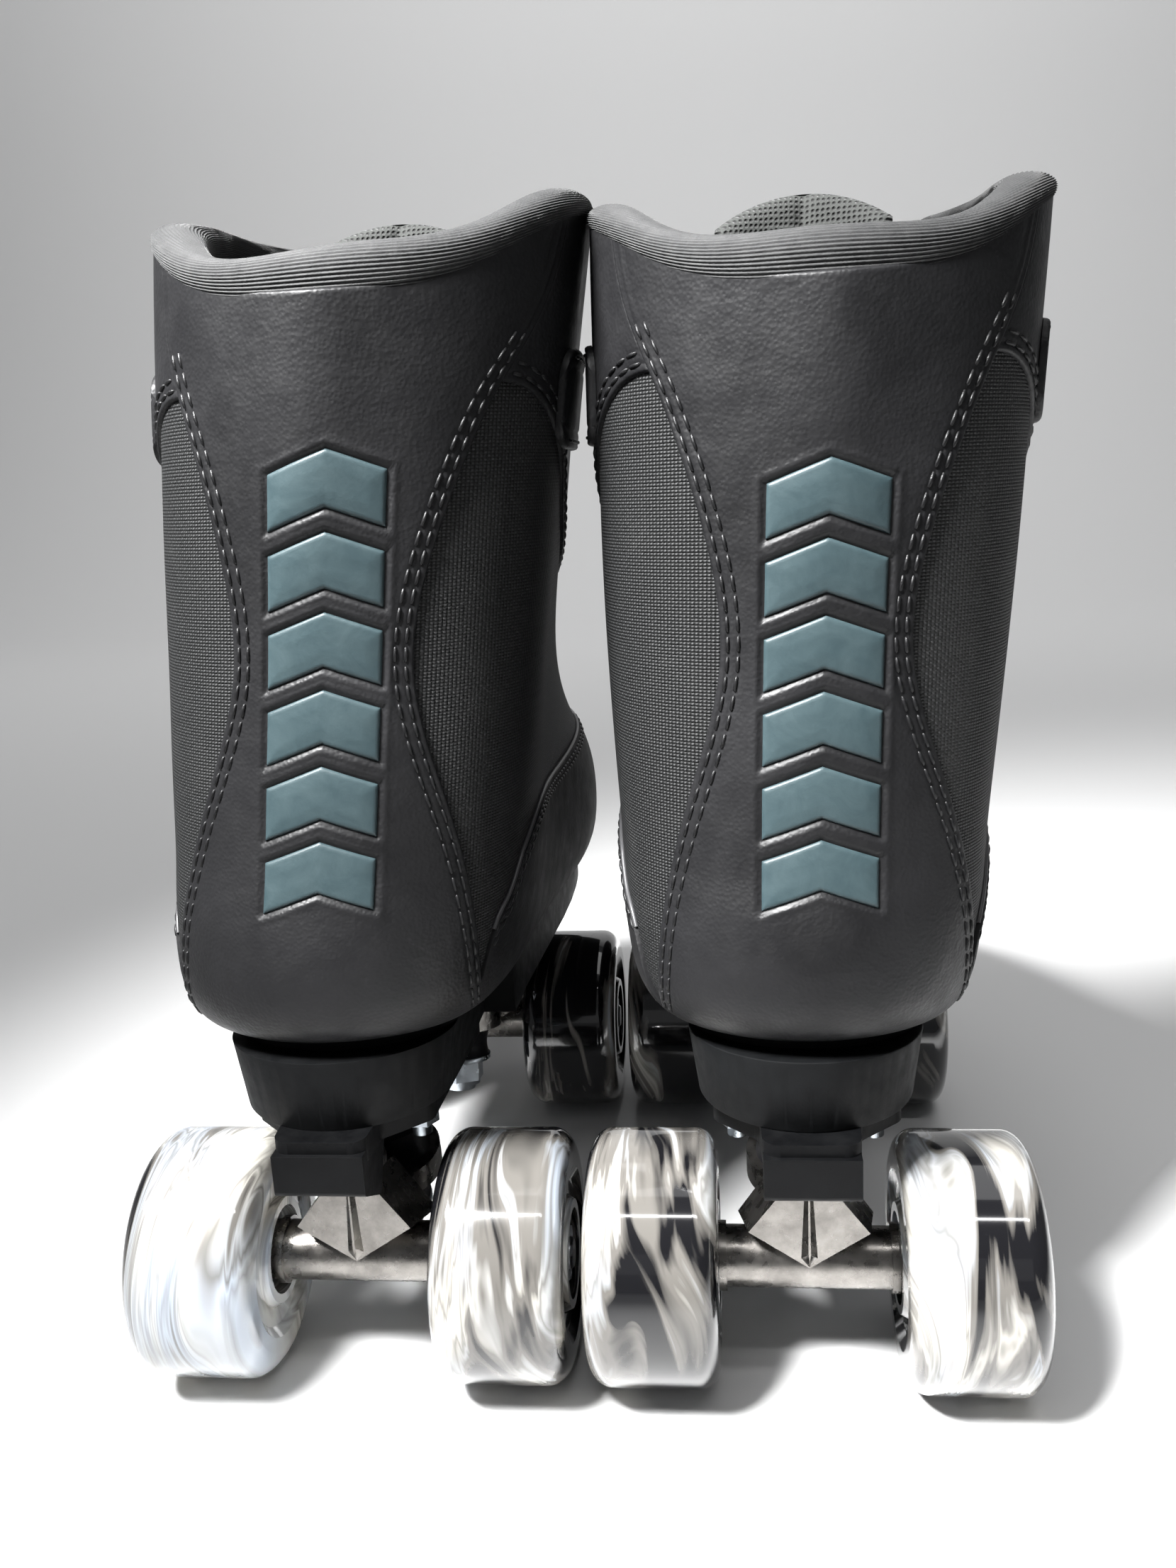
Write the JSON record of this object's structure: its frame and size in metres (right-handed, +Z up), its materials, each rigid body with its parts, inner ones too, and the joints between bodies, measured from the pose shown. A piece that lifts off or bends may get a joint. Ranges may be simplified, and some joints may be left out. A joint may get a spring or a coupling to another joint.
{
  "type": "quad roller skates",
  "caption": "Pair of high-cut padded quad roller skates with marbled wheels, kingpin trucks that steer, toe stops and ankle straps.",
  "frame": {"origin": "on the floor under the middle of the pair's bounding box", "axes": "+X across the pair towards the right skate, +Y towards the toes, +Z up"},
  "size_m": [0.221, 0.2639, 0.2908],
  "materials": {
    "boot_leatherette": "satin fine grain",
    "strap_leatherette": "satin fine grain",
    "mesh_fabric": "spacer mesh",
    "nylon_weave": "coarse nylon weave",
    "collar_fabric": "fine ribbed",
    "motif_fill": "satin embossed fill",
    "thread": "twisted thread",
    "footbed_foam": "woven cover",
    "lace_cord": "braided",
    "eyelet_metal": "satin black",
    "sole_rubber": "matt",
    "heel_rubber": "matt, scuffed edge",
    "plate_nylon": "moulded satin",
    "zinc_steel": "bluish zinc plate",
    "cup_plastic": "moulded",
    "cushion_urethane": "satin",
    "stop_rubber": "matt",
    "nickel_alloy": "dark polished nickel",
    "axle_steel": "ground",
    "bearing_steel": "polished",
    "marbled_urethane": "glossy black, grey and white swirl"
  },
  "bodies": {
    "left_boot": {"left_upper": "boot_leatherette", "left_eyelets": "eyelet_metal", "left_laces": "lace_cord", "left_tongue": "mesh_fabric", "left_collar_pad": "collar_fabric", "left_insole": "footbed_foam", "left_outsole": "sole_rubber", "left_heel_block": "heel_rubber", "left_strap_base": "strap_leatherette", "left_plate": "plate_nylon", "left_mounting_hardware": "zinc_steel", "left_pivot_cups": "cup_plastic", "left_kingpins": "zinc_steel", "left_front_cushions": "cushion_urethane", "left_rear_cushions": "cushion_urethane"},
    "left_toe_stop": {"left_toe_stop": "stop_rubber", "left_toe_stop_stem": "zinc_steel"},
    "left_strap": {"left_strap_flap": "strap_leatherette"},
    "left_front_truck": {"left_front_hanger": "nickel_alloy", "left_front_axle": "axle_steel", "left_front_bearings": "bearing_steel", "left_front_axle_nuts": "zinc_steel"},
    "left_front_left_wheel": {"left_front_left_wheel": "marbled_urethane"},
    "left_front_right_wheel": {"left_front_right_wheel": "marbled_urethane"},
    "left_rear_truck": {"left_rear_hanger": "nickel_alloy", "left_rear_axle": "axle_steel", "left_rear_bearings": "bearing_steel", "left_rear_axle_nuts": "zinc_steel"},
    "left_rear_left_wheel": {"left_rear_left_wheel": "marbled_urethane"},
    "left_rear_right_wheel": {"left_rear_right_wheel": "marbled_urethane"},
    "right_boot": {"right_upper": "boot_leatherette", "right_eyelets": "eyelet_metal", "right_laces": "lace_cord", "right_tongue": "mesh_fabric", "right_collar_pad": "collar_fabric", "right_insole": "footbed_foam", "right_outsole": "sole_rubber", "right_heel_block": "heel_rubber", "right_strap_base": "strap_leatherette", "right_plate": "plate_nylon", "right_mounting_hardware": "zinc_steel", "right_pivot_cups": "cup_plastic", "right_kingpins": "zinc_steel", "right_front_cushions": "cushion_urethane", "right_rear_cushions": "cushion_urethane"},
    "right_toe_stop": {"right_toe_stop": "stop_rubber", "right_toe_stop_stem": "zinc_steel"},
    "right_strap": {"right_strap_flap": "strap_leatherette"},
    "right_front_truck": {"right_front_hanger": "nickel_alloy", "right_front_axle": "axle_steel", "right_front_bearings": "bearing_steel", "right_front_axle_nuts": "zinc_steel"},
    "right_front_left_wheel": {"right_front_left_wheel": "marbled_urethane"},
    "right_front_right_wheel": {"right_front_right_wheel": "marbled_urethane"},
    "right_rear_truck": {"right_rear_hanger": "nickel_alloy", "right_rear_axle": "axle_steel", "right_rear_bearings": "bearing_steel", "right_rear_axle_nuts": "zinc_steel"},
    "right_rear_left_wheel": {"right_rear_left_wheel": "marbled_urethane"},
    "right_rear_right_wheel": {"right_rear_right_wheel": "marbled_urethane"}
  },
  "joints": [
    {"name": "pair_spacing", "type": "slide", "parent": "left_boot", "child": "right_boot", "axis": [1, 0, 0], "range_m": [0, 0.1]},
    {"name": "left_front_steer", "type": "hinge", "parent": "left_boot", "child": "left_front_truck", "pos_m": [-0.057, 0.068, 0.067], "axis": [0, -0.8824, -0.4706], "range_deg": [-6, 6], "stiffness_Nm_per_rad": 20, "deforming": ["left_front_cushions"]},
    {"name": "left_front_left_spin", "type": "hinge", "parent": "left_front_truck", "child": "left_front_left_wheel", "pos_m": [-0.0948, 0.049, 0.031], "axis": [1, 0, 0], "continuous": true},
    {"name": "left_front_right_spin", "type": "hinge", "parent": "left_front_truck", "child": "left_front_right_wheel", "pos_m": [-0.0192, 0.049, 0.031], "axis": [1, 0, 0], "continuous": true},
    {"name": "left_rear_steer", "type": "hinge", "parent": "left_boot", "child": "left_rear_truck", "pos_m": [-0.057, -0.12, 0.067], "axis": [0, 0.8824, -0.4706], "range_deg": [-6, 6], "stiffness_Nm_per_rad": 20, "deforming": ["left_rear_cushions"]},
    {"name": "left_rear_left_spin", "type": "hinge", "parent": "left_rear_truck", "child": "left_rear_left_wheel", "pos_m": [-0.0948, -0.101, 0.031], "axis": [1, 0, 0], "continuous": true},
    {"name": "left_rear_right_spin", "type": "hinge", "parent": "left_rear_truck", "child": "left_rear_right_wheel", "pos_m": [-0.0192, -0.101, 0.031], "axis": [1, 0, 0], "continuous": true},
    {"name": "left_toe_stop_height", "type": "slide", "parent": "left_boot", "child": "left_toe_stop", "axis": [0, 0.5, -0.866], "range_m": [-0.003, 0.005]},
    {"name": "left_strap_open", "type": "hinge", "parent": "left_boot", "child": "left_strap", "pos_m": [0.0006, -0.045, 0.24], "axis": [0, 0, -1], "range_deg": [0, 100]},
    {"name": "right_front_steer", "type": "hinge", "parent": "right_boot", "child": "right_front_truck", "pos_m": [0.0554, 0.068, 0.067], "axis": [0, -0.8824, -0.4706], "range_deg": [-6, 6], "stiffness_Nm_per_rad": 20, "deforming": ["right_front_cushions"]},
    {"name": "right_front_left_spin", "type": "hinge", "parent": "right_front_truck", "child": "right_front_left_wheel", "pos_m": [0.0176, 0.049, 0.031], "axis": [1, 0, 0], "continuous": true},
    {"name": "right_front_right_spin", "type": "hinge", "parent": "right_front_truck", "child": "right_front_right_wheel", "pos_m": [0.0932, 0.049, 0.031], "axis": [1, 0, 0], "continuous": true},
    {"name": "right_rear_steer", "type": "hinge", "parent": "right_boot", "child": "right_rear_truck", "pos_m": [0.0554, -0.12, 0.067], "axis": [0, 0.8824, -0.4706], "range_deg": [-6, 6], "stiffness_Nm_per_rad": 20, "deforming": ["right_rear_cushions"]},
    {"name": "right_rear_left_spin", "type": "hinge", "parent": "right_rear_truck", "child": "right_rear_left_wheel", "pos_m": [0.0176, -0.101, 0.031], "axis": [1, 0, 0], "continuous": true},
    {"name": "right_rear_right_spin", "type": "hinge", "parent": "right_rear_truck", "child": "right_rear_right_wheel", "pos_m": [0.0932, -0.101, 0.031], "axis": [1, 0, 0], "continuous": true},
    {"name": "right_toe_stop_height", "type": "slide", "parent": "right_boot", "child": "right_toe_stop", "axis": [0, 0.5, -0.866], "range_m": [-0.003, 0.005]},
    {"name": "right_strap_open", "type": "hinge", "parent": "right_boot", "child": "right_strap", "pos_m": [0.0149, -0.045, 0.24], "axis": [0, 0, 1], "range_deg": [0, 100]}
  ]
}
